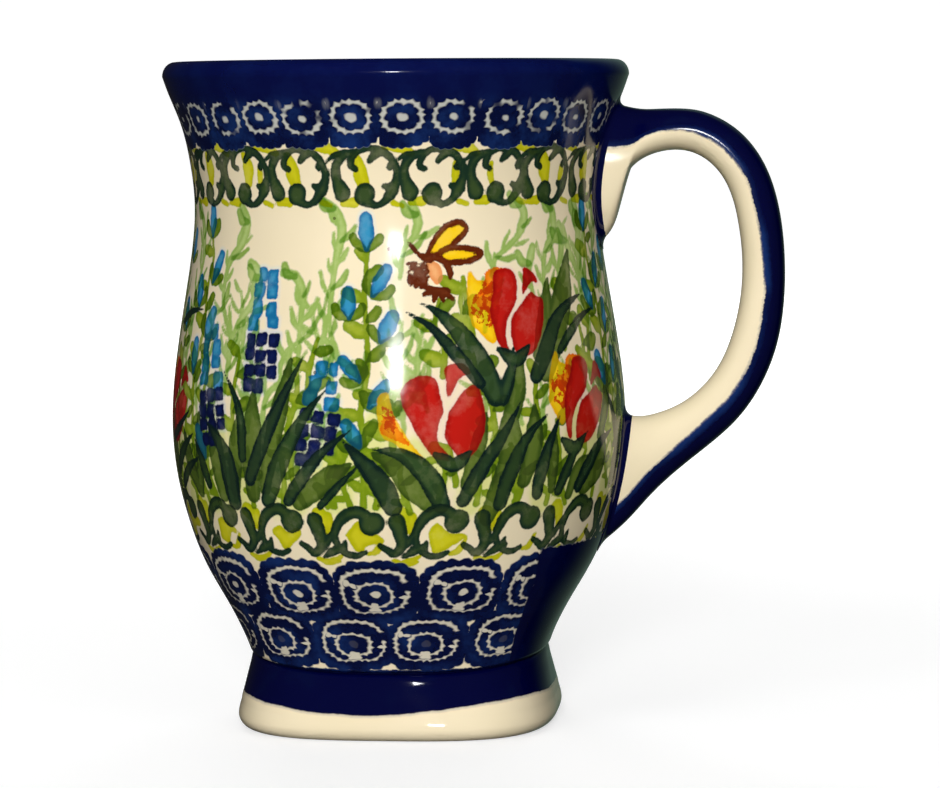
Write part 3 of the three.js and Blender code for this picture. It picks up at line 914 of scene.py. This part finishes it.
def eye_band(s, angle, z, radius, warp):
    """The band of ringed eyes under the lip: how cream, where navy, and the distance from an eye."""
    x, number, u = cell(s, angle, EYES, 0.81, radius)
    r1, r2 = random_of(s, number, 0.5), random_of(s, number, 40.5)
    x = s.add(x, s.sub(r1, 0.5), warp[0])
    y = s.add(s.sub(z, s.madd(r2, 0.5, EYES_Z)), warp[1])
    navy = stamp(s, x, s.add(y, 0.6), 5.6, 5.2)
    rho, phi = polar(s, x, y, 3.6, 2.8)
    ring = ring_line(s, rho, phi, 0.78, 1.15, s.mul(r1, 3), 0.07, (9, 17), (0.13, 0.13))
    ring = s.mul(ring, worn(s, phi, number, 3.7, 0.9, 0.33, 0.45))
    dot = s.ramp(s.sub(rho, s.madd(r2, 0.14, 0.12)), 0.08, -0.06)
    fleck, _ = polar(s, s.mul(s.sub(s.size(u), 0.48), 9), s.sub(y, 2.4), 0.6, 1.1, 2)
    faint = s.mul(s.ramp(fleck, 1.2, 0.2), s.ramp(r1, 0.2, 0.9, 0.0, 0.16))
    return s.most(ring, dot, faint), navy, rho


def rosette_row(s, angle, z, radius, warp, count, offset, centre, half, dotted):
    """A row of double-ringed rosettes: how cream, where navy, and the distance from a ring."""
    x, number, _ = cell(s, angle, count, offset, radius)
    r1, r2 = random_of(s, number, count + 3.5), random_of(s, number, count + 60.5)
    ground = s.madd(warp[0], 0.6, x), s.sub(s.add(z, warp[1]), centre + 0.5)
    navy = stamp(s, *ground, half[0] + 1.95, half[1] + 1.85)
    x = s.add(x, s.madd(r1, 0.8, -0.4), warp[0])
    y = s.add(s.sub(z, s.madd(r2, 0.4, centre - 0.2)), warp[1])
    rho, phi = polar(s, x, s.sub(y, 0.6), *half, 2.8)
    swell = s.mul(s.sin(phi), 0.02)
    edges = s.sub(0.88, swell), s.add(1.04, swell)
    outer = ring_line(s, rho, phi, *edges, 0.3, 0.04, (21, 27), (0.04, 0.06))
    gap = s.ramp(s.size(s.sub(phi, 0.24)), 0.16, 0.26)
    outer = s.mul(outer, worn(s, phi, number, 0.13, 1.1, 0.24, 0.38), gap)
    inside = polar(s, s.add(x, 0.1), s.add(y, 0.1), half[0] * 0.55, half[1] * 0.54)
    inner = ring_line(s, *inside, 0.82, 1.12, 1.1, 0.07, (9, 15), (0.07, 0.13))
    dot = s.mul(s.ramp(polar(s, x, y, 0.95, 0.72, 2)[0], 1.15, 0.75), dotted)
    between = s.mul(s.ramp(rho, 0.5, 0.56), s.ramp(rho, 0.95, 0.88))
    jag = s.mul(scallop(s, rho, 26, 0.2), 0.08)
    foot = s.ramp(s.sub(s.size(s.add(phi, 1.6)), jag), 0.17, 0.09)
    side = s.ramp(s.sub(s.size(s.sub(phi, 2.75)), jag), 0.09, 0.02)
    bridges = s.mul(between, s.most(foot, side))
    barb = s.ramp(polar(s, s.sub(x, half[0] * 0.86), s.add(y, 0.5), 1.0, 0.35, 1.2)[0], 1.1, 0.8)
    return s.most(outer, inner, barb, dot, bridges), navy, rho


def wall_material():
    s = Shade("painted_glaze")
    p = s.place()
    x, y, z = s.split(p)
    radius = s.math("SQRT", s.add(s.mul(x, x), s.mul(y, y)))
    angle = s.mul(s.arctan(x, s.mul(y, -1)), 180 / math.pi)
    rough_edge = s.mul(s.ripple(p, 0.75, 3, 0.6), 0.62)
    tone = s.madd(s.ripple(p, 0.9, 3, 0.6), 0.35, s.ripple(p, 0.15, 2, 0.5))
    colour = painted(s, cream_glaze(s, p), rough_edge, tone)

    drift = s.node("ShaderNodeTexNoise", {"Vector": p, "Scale": 0.33, "Detail": 2.0})
    red, green, _ = s.node("ShaderNodeSeparateColor", {0: drift.outputs["Color"]}).outputs
    warp = s.madd(red, 1.6, -0.8), s.madd(green, 1.3, -0.65)
    eyes, eye_navy, eye_rho = eye_band(s, angle, z, radius, warp)
    upper, lower = (rosette_row(s, angle, z, radius, warp, *row) for row in ROSETTES)

    brushed = s.ripple(s.join(s.mul(angle, MM_PER_DEG), s.mul(z, 0.12), 0.0), 0.5, 3, 0.6)
    rim_band = s.ramp(s.madd(brushed, 2.5, z), 119.6, 120.4)
    overlap = s.mul(s.ramp(z, 114.2, 114.5), s.sub(1.0, rim_band))
    navy_top = s.most(eye_navy, rim_band, overlap)
    wander = s.madd(s.ripple(p, 0.12, 2, 0.5), 7.0, angle)
    patch = s.mul(s.ramp(wander, 47.0, 47.8), s.ramp(wander, 104, 103))
    patch = s.mul(patch, s.ramp(s.madd(brushed, 1.5, z), 36.9, 36.4))
    stamped = s.mul(s.most(upper[0], lower[0]), s.sub(1.0, patch))
    hem = s.ramp(s.madd(brushed, 0.8, z), 13.9, 13.6)
    navy_low = s.most(upper[1], lower[1], patch, hem)
    top = s.ramp(z, 70, 71)
    bands = s.mix(top, s.join(stamped, navy_low, 0.0), s.join(eyes, navy_top, 0.0))
    cream, navy, _ = s.split(bands)

    deep = s.ramp(s.madd(brushed, 3.0, z), 117.6, 122.4)
    lines = s.least(*(s.size(s.sub(rho, 0.95)) for rho in (upper[2], lower[2], eye_rho)))
    wash = s.madd(tone, 2.6, s.ramp(lines, 0.1, 0.3, 0.0, 0.3))
    ink = s.mix(s.ramp(wash, -0.1, s.madd(top, -0.25, 1.15)), NAVY, COBALT)
    ink = s.mix(s.mul(deep, 0.85), ink, linear((3, 10, 66)))
    ink = s.mix(s.mul(patch, 0.85), ink, NAVY_DEEP)
    colour = s.mix(s.mul(navy, s.madd(top, 0.3, 0.35)), colour, linear((176, 188, 192)))
    colour = s.mix(s.mul(navy, s.sub(1.0, s.mul(cream, 0.93))), colour, ink)
    relief = s.madd(s.noise(p, 0.6, 2), 0.04, s.noise(p, 0.07, 1))
    return s.surface(colour, s.ramp(s.noise(p, 0.4, 2), 0.3, 0.7, 0.09, 0.15), relief)


def liner_material():
    s = Shade("inner_glaze")
    p = s.place()
    z = s.split(p)[2]
    edge = s.madd(s.ripple(p, 0.12, 3, 0.6), 3.4, z)
    colour = s.mix(s.ramp(edge, 120.6, 121.3), cream_glaze(s, p), NAVY)
    colour = s.mix(s.ramp(edge, 121.4, 123.4), colour, NAVY_DEEP)
    colour = s.mix(s.mul(s.ramp(z, 24, 17.8), 0.25), colour, linear((214, 202, 168)))
    return s.surface(colour, 0.08, s.noise(p, 0.1, 1))


def foot_material():
    s = Shade("foot_glaze")
    p = s.place()
    x, y, z = s.split(p)
    angle = s.arctan(x, s.mul(y, -1))
    wave = s.madd(s.cos(s.madd(angle, 4.0, 0.3)), 0.5, s.cos(s.madd(angle, 2.0, 0.45)))
    edge = s.add(z, wave, s.mul(s.ripple(p, 0.25, 3, 0.6), 0.7))
    outside = s.attribute("outside")
    colour = s.mix(s.mul(s.ramp(edge, 5.9, 6.45), outside, 0.3), cream_glaze(s, p), COBALT)
    colour = s.mix(s.mul(s.ramp(edge, 6.4, 6.65), outside), colour, navy_ink(s, p, 0.2))
    bare = s.ramp(s.madd(s.ripple(p, 1.2, 2, 0.5), 0.25, z), 0.42, 0.28)
    clay = s.mix(s.noise(p, 1.5, 4), linear((214, 196, 164)), linear((188, 166, 134)))
    grain = s.madd(s.mul(bare, s.noise(p, 4.0, 3)), 0.4, s.noise(p, 0.1, 1))
    return s.surface(s.mix(bare, colour, clay), s.madd(bare, 0.7, 0.07), grain, 0.00012)


def navy_material():
    s = Shade("cobalt_slip")
    p = s.place()
    return s.surface(navy_ink(s, p, 0.35, 0.45), 0.08, s.noise(p, 0.2, 1), 0.00008)


def handle_material():
    s = Shade("handle_glaze")
    p = s.place()
    bristle = s.madd(s.ripple(p, 0.12, 2, 0.5), 1.4, s.mul(s.ripple(p, 1.3, 3, 0.65), 0.7))
    edge = s.add(s.sub(s.attribute("stripe_width"), s.attribute("back_depth")), bristle)
    fringe = s.ramp(s.noise(p, 0.09, 2), 0.4, 0.65, 0.25, 0.95)
    colour = s.mix(s.mul(s.ramp(edge, -0.4, 0.1), fringe), cream_glaze(s, p), COBALT)
    ink = s.mix(s.mul(s.ramp(edge, 1.7, 0.4), fringe), navy_ink(s, p, 0.22), COBALT)
    colour = s.mix(s.ramp(edge, 0.05, 0.3), colour, ink)
    relief = s.add(s.noise(p, 0.12, 1), s.mul(s.ramp(edge, -0.1, 0.3), 0.5), s.mul(s.noise(p, 1.4, 2), 0.05))
    return s.surface(colour, 0.13, relief)


# ---- The vessel --------------------------------------------------------------------------------

tuck = [(27.0, WALL_BASE_Z - 0.3), (28.6, WALL_BASE_Z - 0.1)]
wall = grid("painted_wall", settle(wobble(spin(np.vstack([tuck, wall_profile]), AROUND))))
for n in range(0, len(PIGMENTS), 3):
    packed = np.stack([field[name] for name in PIGMENTS[n : n + 3]], -1)
    blank = np.full((len(tuck), AROUND, 3), FAR)
    attribute(wall, f"paint_{n // 3}", np.concatenate([blank, packed]).reshape(-1, 3))
wall.data.materials.append(wall_material())

liner_profile = np.vstack([lip_arc(168, 180, 2)[:1], spline(INNER_WALL, 150)[:-1]])
liner = grid("inner_glaze", wobble(spin(liner_profile, LINER_COLUMNS)), close_last=True)
liner.data.materials.append(liner_material())

# ---- The foot ----------------------------------------------------------------------------------

ring_outer = FOOT_HALF - FOOT_EDGE
ring_inner = ring_outer - RING_WIDTH
turn_under = np.radians(np.linspace(-90, 0, 14))
underside = [
    (8, RECESS_DEPTH), (ring_inner - 4, RECESS_DEPTH - 0.3), (ring_inner - 1.6, RECESS_DEPTH - 1.6),
    (ring_inner - 0.6, 4), (ring_inner - 0.1, 1.0), (ring_inner + 0.5, 0.02),
]  # fmt: skip
flare = [
    (FOOT_HALF, FOOT_EDGE), (FOOT_HALF - 0.1, 3.2), (FOOT_HALF - 0.35, 4.2), (30.3, 5.4), (29.8, 7.2),
    (29.25, 9.4), (28.93, 10.75), (28.76, 11.6), (28.45, 12.25), (28, 12.6), (27.3, 12.7),
]  # fmt: skip
under = np.vstack([
    spline(underside, 34), np.stack([np.linspace(ring_inner + 0.7, ring_outer - 0.2, 8), np.zeros(8)], 1)
])
foot_profile = np.vstack([
    under,
    np.stack([ring_outer + FOOT_EDGE * np.cos(turn_under), FOOT_EDGE * (1 + np.sin(turn_under))], 1),
    spline(flare, 40)[1:],
    [(24.0, WAIST_Z + 0.35)],
])
foot = grid("pedestal", settle(spin(foot_profile, FOOT_COLUMNS)), close_first=True, close_last=True)
outside = np.repeat(np.arange(len(foot_profile)) > len(under) + 2, FOOT_COLUMNS).astype(float)
attribute(foot, "outside", np.concatenate([outside, [0, 0]]))
foot.data.materials.append(foot_material())

bead = [(28.1 + 0.5 * math.cos(t), WAIST_Z + 0.48 + 0.32 * math.sin(t))
        for t in np.linspace(0, 2 * math.pi, 13)]  # fmt: skip
seam = grid("waist_slip", settle(spin(bead, FOOT_COLUMNS)))
seam.data.materials.append(navy_material())

# ---- The handle --------------------------------------------------------------------------------
# Stations from the upper root to the lower one: a point on the strap's back, the matching point on
# its inner face, both as (x from the axis, z), and the strap's width there.

STATIONS = [
    ((39.8, 120.4), (37, 91.6), 13.4), ((44.3, 119), (41.2, 94.6), 13.0),
    ((47.5, 118.4), (43.1, 99.4), 12.7), ((51, 118.4), (44.4, 105.4), 12.4),
    ((55.5, 118.4), (48.6, 109.3), 12.1), ((60.5, 117.4), (56, 110.3), 11.8),
    ((66, 114.2), (61.6, 107.1), 11.6), ((70.6, 108.6), (64.6, 102.1), 11.4),
    ((73.6, 100.6), (66.1, 96), 11.2), ((75, 88.8), (66.8, 88.4), 11.0),
    ((74.3, 76.8), (66, 79.6), 10.8), ((71.6, 67.6), (63.6, 71.6), 10.6),
    ((66.6, 59.4), (60, 65.8), 10.4), ((60, 53.2), (55.2, 61.7), 10.3),
    ((53.6, 48), (50.6, 59.7), 10.2), ((48.6, 43.2), (47.2, 59), 10.3),
    ((44.8, 39), (44.8, 59.2), 10.5), ((37.6, 32.8), (40.6, 59.9), 10.8),
]
STRAP_STEPS = 220
SECTION = 72


def strap_section(thick, width):
    """The strap's section: an oval with full shoulders, centred across the strap."""
    t = np.linspace(0, 2 * math.pi, SECTION, endpoint=False) - math.pi / 2
    power = 2 / 2.1
    x = np.sign(np.cos(t)) * np.abs(np.cos(t)) ** power
    y = np.sign(np.sin(t)) * np.abs(np.sin(t)) ** power
    return np.stack([x * width / 2, (y + 1) * thick / 2], 1)


strap, depths = [], []
for station in spline([(*back, *inner, width) for back, inner, width in STATIONS], STRAP_STEPS):
    back, inner, width = station[:2], station[2:4], station[4]
    thick = np.hypot(*(back - inner))
    rise = (back - inner) / thick
    across, up = strap_section(thick, width).T
    strap.append(np.stack([AXIS_X + inner[0] + rise[0] * up, across, inner[1] + rise[1] * up], 1))
    depths.append(thick - up)
strap = np.array(strap)
handle = grid("strap_handle", strap, close_first=True, close_last=True)
STRIPE = [(0, 9), (0.1, 6.6), (0.2, 4.6), (0.3, 4.4), (0.38, 4.7), (0.5, 4.0), (0.65, 3.9), (0.8, 4.2),
          (0.9, 4.6), (1, 5.4)]  # the navy stripe's width in mm, by the share of the way down  # fmt: skip
stripe = np.interp(np.linspace(0, 1, STRAP_STEPS), *zip(*STRIPE))
attribute(handle, "back_depth", np.concatenate([np.array(depths).ravel(), [0, 0]]))
attribute(handle, "stripe_width", np.concatenate([np.repeat(stripe, SECTION), [3, 3]]))
handle.data.materials.append(handle_material())


def outside_wall(points):
    """How far points in mm stand outside the vessel's outer surface, along the radius."""
    x, y, z = points[..., 0] - AXIS_X, points[..., 1], points[..., 2]
    n = squareness(z)
    reach = (np.abs(x) ** n + np.abs(y) ** n) ** (1 / n)
    radius, height = wall_profile[:WALL_ROWS].T
    return reach - np.interp(z, height, radius)


def root_fillet(name, order):
    """A slip fillet round one root of the strap, where it meets the wall."""
    path = strap[order]
    gap = outside_wall(path)
    joints, lifts = [], []
    for j in range(SECTION):
        k = max(int(np.argmax(gap[:, j] > 0)), 1)
        t = gap[k - 1, j] / (gap[k - 1, j] - gap[k, j])
        joint = path[k - 1, j] * (1 - t) + path[k, j] * t
        tail = np.vstack([joint, path[k:, j]])
        run = np.concatenate([[0], np.cumsum(np.linalg.norm(np.diff(tail, axis=0), axis=1))])
        joints.append(joint)
        lifts.append([np.interp(1.5, run, tail[:, axis]) for axis in range(3)])
    joints, lifts = np.array(joints), np.array(lifts)
    out = joints - joints.mean(0)
    out /= np.linalg.norm(out, axis=1)[:, None]
    skirts = joints + out * 1.9
    skirts -= radial(skirts) * (outside_wall(skirts) + 0.03)[:, None]
    lifts -= out * 0.03
    rings = [(1 - t) ** 2 * lifts + 2 * t * (1 - t) * (joints + out * 0.1) + t**2 * skirts
             for t in np.linspace(0, 1, 8)]  # fmt: skip
    rings += [joints - radial(joints) * 0.8 - out * 0.5, rings[0]]
    fillet = grid(name, np.array(rings))
    fillet.data.materials.append(bpy.data.materials["cobalt_slip"])
    return fillet


def radial(points):
    """Unit directions away from the vessel's axis."""
    d = points * [1, 1, 0] - [AXIS_X, 0, 0]
    return d / np.linalg.norm(d, axis=1)[:, None]


upper_fillet = root_fillet("upper_root", slice(0, 90))
lower_fillet = root_fillet("lower_root", slice(STRAP_STEPS - 1, 120, -1))

# ---- Riding and replacing ----------------------------------------------------------------------

for piece, nodes, slot in (
    (wall, ["vessel"], "painted_glaze"),
    (liner, ["vessel"], "painted_glaze"),
    (foot, ["pedestal_foot"], "foot_glaze"),
    (seam, ["waist_slip_joint"], "waist_slip"),
    (handle, ["handle"], "handle_glaze"),
    (upper_fillet, ["upper_slip_joint"], "upper_slip"),
    (lower_fillet, ["lower_slip_joint"], "lower_slip"),
):
    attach(piece, "root")
    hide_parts(*nodes)

# ---- Studio ------------------------------------------------------------------------------------


def from_axis(angle, reach, z):
    """A place in metres, by its angle round the vessel's axis."""
    a = math.radians(angle)
    return Vector((AXIS_X * MM + reach * math.sin(a), -reach * math.cos(a), z))


bend = [math.radians(5 * i) for i in range(19)]
sweep = [(-3.0, 0.0)] + [(1.6 + 0.9 * math.sin(t), 0.9 - 0.9 * math.cos(t)) for t in bend] + [(2.5, 3.0)]
sweep_verts = [(x, y, z - 0.0001) for y, z in sweep for x in (-4.0, 4.0)]
sweep_faces = [(2 * i, 2 * i + 1, 2 * i + 3, 2 * i + 2) for i in range(len(sweep) - 1)]
floor = make_mesh("floor", sweep_verts, sweep_faces)
pale = Shade("pale_floor")
spot = pale.node("ShaderNodeTexCoord").outputs["Object"]
away = pale.node("ShaderNodeVectorMath", {0: spot}, operation="LENGTH").outputs["Value"]
paper = pale.mix(pale.noise(spot, 3.0), (0.5, 0.5, 0.5), (0.53, 0.53, 0.53))
lit = pale.ramp(away, 0.08, 0.8, 0.62, 0.94)
floor.data.materials.append(pale.surface(paper, 0.9, specular=0.1, glow=lit))
floor.visible_glossy = floor.visible_diffuse = False
floor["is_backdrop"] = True

studio = Shade("studio", "worlds")
bpy.context.scene.world = studio.owner
facing = studio.split(studio.node("ShaderNodeTexCoord").outputs["Generated"])[1]
light = studio.node("ShaderNodeBackground", {"Strength": studio.ramp(facing, 0.65, -0.75, 0.02, 0.06)})
studio.node("ShaderNodeOutputWorld", {0: light.outputs[0]})

middle = (AXIS_X * MM, 0, 0.07)
for name, place, size, power in (
    ("front_strip", from_axis(5.5, 1.25, 0.31), (0.13, 0.12), 2.7),
    ("front", from_axis(3, 1.25, 0.4), (0.25, 0.25), 11.7),
    ("key", from_axis(-30, 1.4, 1.25), (0.6, 0.6), 4.8),
    ("fill", from_axis(42, 1.5, 1.0), (0.6, 0.6), 1.3),
    ("top", Vector((0, -0.3, 1.6)), (0.9, 0.9), 3),
    ("rear_left", from_axis(200, 1.4, 1.0), (0.6, 0.6), 7.5),
    ("rear_right", from_axis(168, 1.4, 0.7), (0.6, 0.6), 7.5),
):
    softbox = bpy.data.lights.new(name, "AREA")
    softbox.shape = "RECTANGLE"
    softbox.size, softbox.size_y = size
    softbox.energy = power
    lamp = make_object(name, softbox)
    lamp.location = place
    lamp.rotation_euler = (Vector(middle) - place).to_track_quat("-Z", "Y").to_euler()
    lamp.visible_glossy = name == "front_strip"

# A dim green-grey card at the back right, seen only in the glaze's grazing reflections.
CARD_TURN = 148
card = make_mesh("card", [(-0.9, 0, -1.0), (0.9, 0, -1.0), (0.9, 0, 1.0), (-0.9, 0, 1.0)], [(0, 1, 2, 3)])
card.location = from_axis(CARD_TURN, 1.2, 0.1)
card.rotation_euler = (0, 0, math.radians(CARD_TURN))
dim = Shade("card_cloth")
cloth = dim.node("ShaderNodeTexCoord").outputs["Object"]
glow = dim.mix(dim.noise(cloth, 2.0), (0.07, 0.12, 0.09), (0.14, 0.2, 0.16))
fade = dim.ramp(dim.split(cloth)[0], -0.5, 0.7)
glowing = dim.node("ShaderNodeEmission", {"Color": glow, "Strength": fade}).outputs[0]
dim.node("ShaderNodeOutputMaterial", {0: glowing})
card.data.materials.append(dim.owner)
card.visible_camera = card.visible_diffuse = card.visible_shadow = False
card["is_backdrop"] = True

CAMERA_TURN = 7.0  # degrees from the front towards the handle
CAMERA_REACH = 0.675
CAMERA_HEIGHT = 0.1209
LENS = 132.855  # mm, on a 36 mm sensor
YAW, PITCH, ROLL = math.radians(1.172), math.radians(4.894), math.radians(0.43)

camera_data = bpy.data.cameras.new("camera")
camera_data.sensor_width = 36
camera_data.lens = LENS
camera = make_object("camera", camera_data)
bearing = math.radians(90 + CAMERA_TURN) - YAW
level = Vector((math.cos(bearing), math.sin(bearing), 0))
forward = level * math.cos(PITCH) - Vector((0, 0, math.sin(PITCH)))
right = forward.cross(Vector((0, 0, 1))).normalized()
up = right.cross(forward)
right, up = right * math.cos(ROLL) - up * math.sin(ROLL), up * math.cos(ROLL) + right * math.sin(ROLL)
turned_to = Matrix((right, up, -forward)).transposed().to_4x4()
camera.matrix_world = Matrix.Translation(from_axis(CAMERA_TURN, CAMERA_REACH, CAMERA_HEIGHT)) @ turned_to
bpy.context.scene.camera = camera
bpy.context.scene.view_settings.view_transform = "Standard"

size = {"cad": [list(v) for v in cad_box], "visual": [list(v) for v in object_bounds()]}
